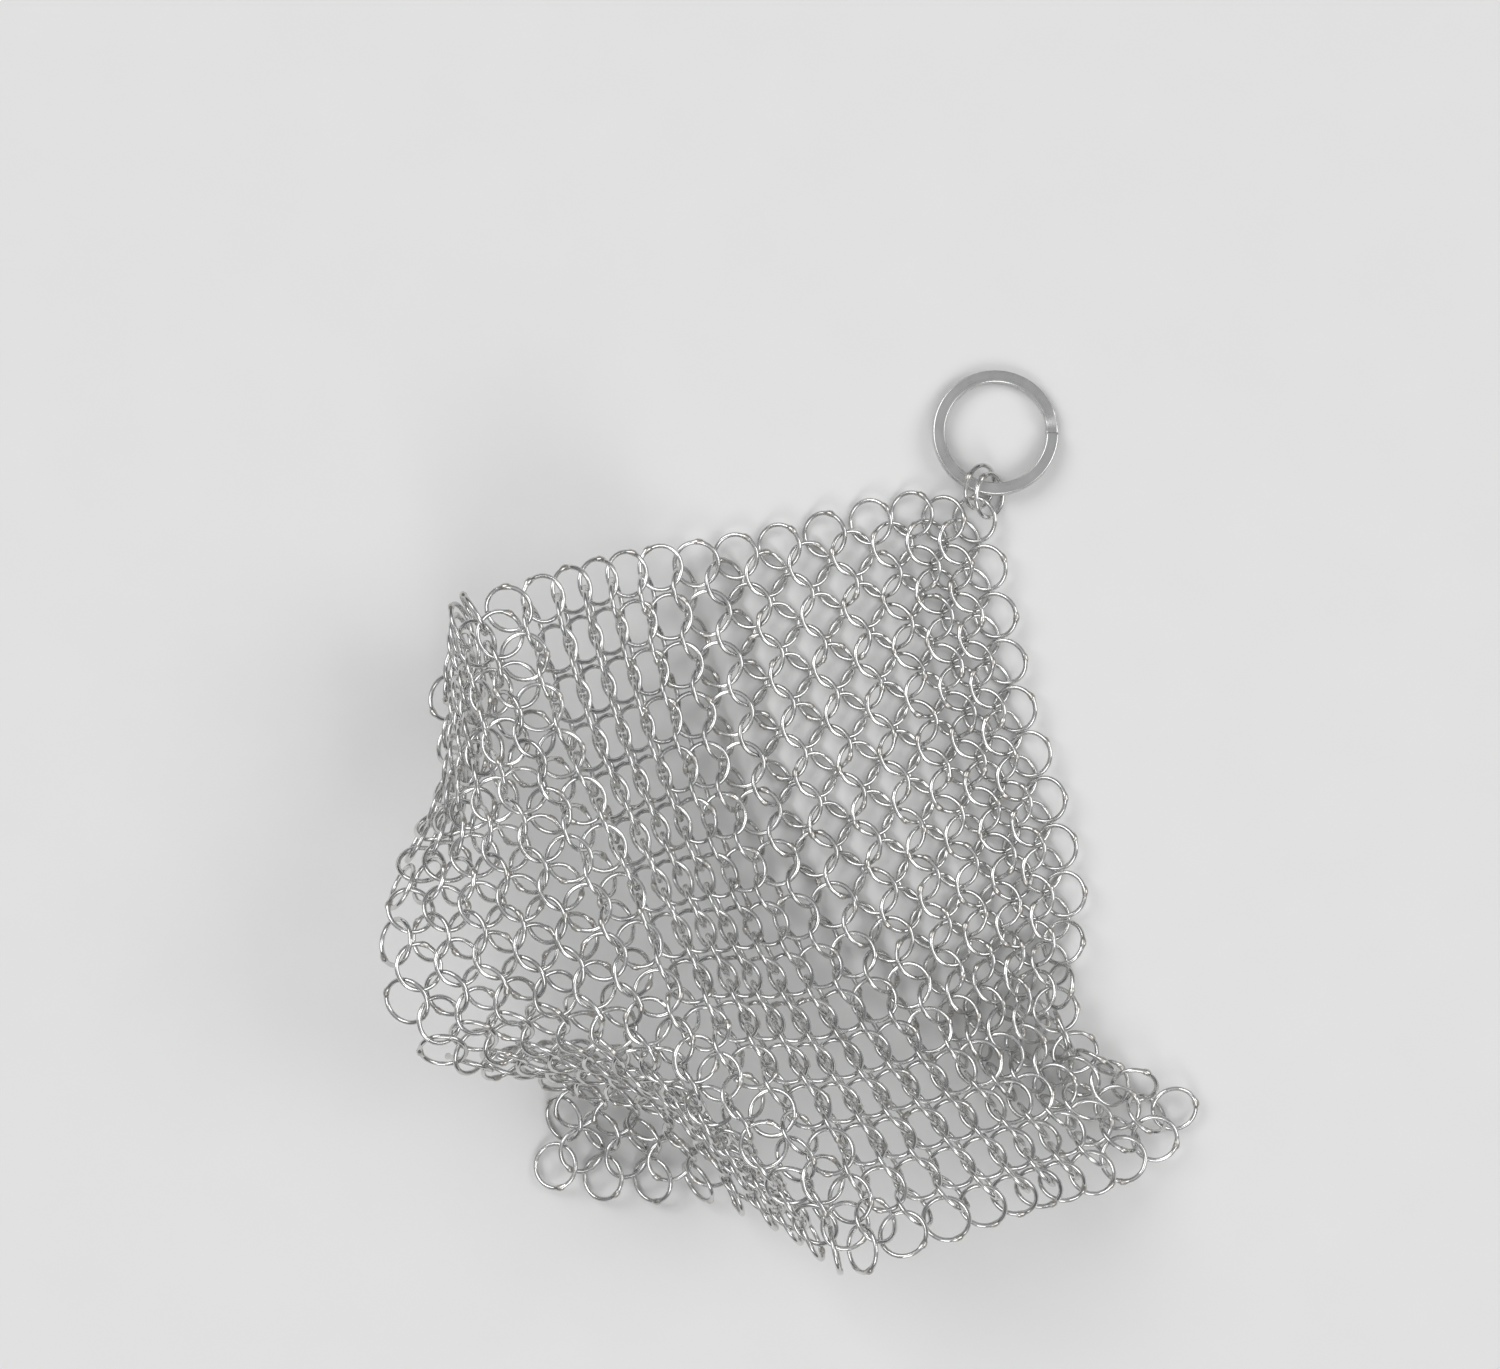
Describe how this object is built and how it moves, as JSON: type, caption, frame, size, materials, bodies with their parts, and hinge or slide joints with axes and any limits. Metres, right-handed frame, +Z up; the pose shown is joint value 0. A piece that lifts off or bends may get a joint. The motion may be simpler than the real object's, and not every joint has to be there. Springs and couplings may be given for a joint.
{
  "type": "pot scrubber",
  "caption": "Chainmail pot scrubber: small welded steel rings woven into a supple sheet, shown draped, with a flat split ring linked to one corner for hanging.",
  "frame": {"origin": "middle of the box around the draped sheet and split ring, at the floor", "axes": "+Z up; the sheet's rows run along X and its columns along Y, with the split ring at the +X +Y corner"},
  "size_m": [0.1614, 0.1764, 0.0552],
  "materials": {
    "ring_steel": "polished wire",
    "band_steel": "satin flat band"
  },
  "bodies": {
    "mesh": {"mesh_row_01": "ring_steel", "mesh_row_02": "ring_steel", "mesh_row_03": "ring_steel", "mesh_row_04": "ring_steel", "mesh_row_05": "ring_steel", "mesh_row_06": "ring_steel", "mesh_row_07": "ring_steel", "mesh_row_08": "ring_steel", "mesh_row_09": "ring_steel", "mesh_row_10": "ring_steel", "mesh_row_11": "ring_steel", "mesh_row_12": "ring_steel", "mesh_row_13": "ring_steel", "mesh_row_14": "ring_steel", "mesh_row_15": "ring_steel", "mesh_row_16": "ring_steel", "mesh_row_17": "ring_steel", "mesh_row_18": "ring_steel", "mesh_row_19": "ring_steel", "mesh_row_20": "ring_steel", "mesh_row_21": "ring_steel", "mesh_row_22": "ring_steel", "mesh_row_23": "ring_steel", "mesh_row_24": "ring_steel", "mesh_row_25": "ring_steel", "mesh_row_26": "ring_steel", "mesh_row_27": "ring_steel", "mesh_row_28": "ring_steel", "mesh_row_29": "ring_steel", "corner_ring_key": "ring_steel"},
    "connector_left": {"connector_ring_left": "ring_steel"},
    "connector_right": {"connector_ring_right": "ring_steel"},
    "split_ring": {"key_ring": "band_steel"},
    "corner_ring_top_left": {"corner_ring_top_left": "ring_steel"},
    "corner_ring_bottom_right": {"corner_ring_bottom_right": "ring_steel"},
    "corner_ring_bottom_left": {"corner_ring_bottom_left": "ring_steel"}
  },
  "joints": [
    {"name": "connector_left_swing", "type": "hinge", "parent": "mesh", "child": "connector_left", "pos_m": [0.03758, 0.06155, 0.00361], "axis": [0.7976, -0.5218, 0.3027], "range_deg": [0, 20]},
    {"name": "connector_right_swing", "type": "hinge", "parent": "mesh", "child": "connector_right", "pos_m": [0.03758, 0.06155, 0.00361], "axis": [0.7976, -0.5218, 0.3027], "range_deg": [0, 20]},
    {"name": "split_ring_swing", "type": "hinge", "parent": "connector_left", "child": "split_ring", "pos_m": [0.03772, 0.06426, 0.004], "axis": [0.9815, -0.1917, 0], "range_deg": [0, 110]},
    {"name": "corner_ring_top_left_swing", "type": "hinge", "parent": "mesh", "child": "corner_ring_top_left", "pos_m": [-0.06841, 0.0263, 0.01155], "axis": [0.4134, 0.6876, -0.597], "range_deg": [0, 42]},
    {"name": "corner_ring_bottom_right_swing", "type": "hinge", "parent": "mesh", "child": "corner_ring_bottom_right", "pos_m": [0.0741, -0.06323, 0.00258], "axis": [0.7806, -0.5995, 0.1766], "range_deg": [0, 50]},
    {"name": "corner_ring_bottom_left_swing", "type": "hinge", "parent": "mesh", "child": "corner_ring_bottom_left", "pos_m": [-0.04685, -0.07167, 0.00351], "axis": [0.5464, -0.7781, -0.3098], "range_deg": [-50, 0]}
  ],
  "couplings": [
    {"joint": "connector_right_swing", "follows": "connector_left_swing", "ratio": 1}
  ]
}
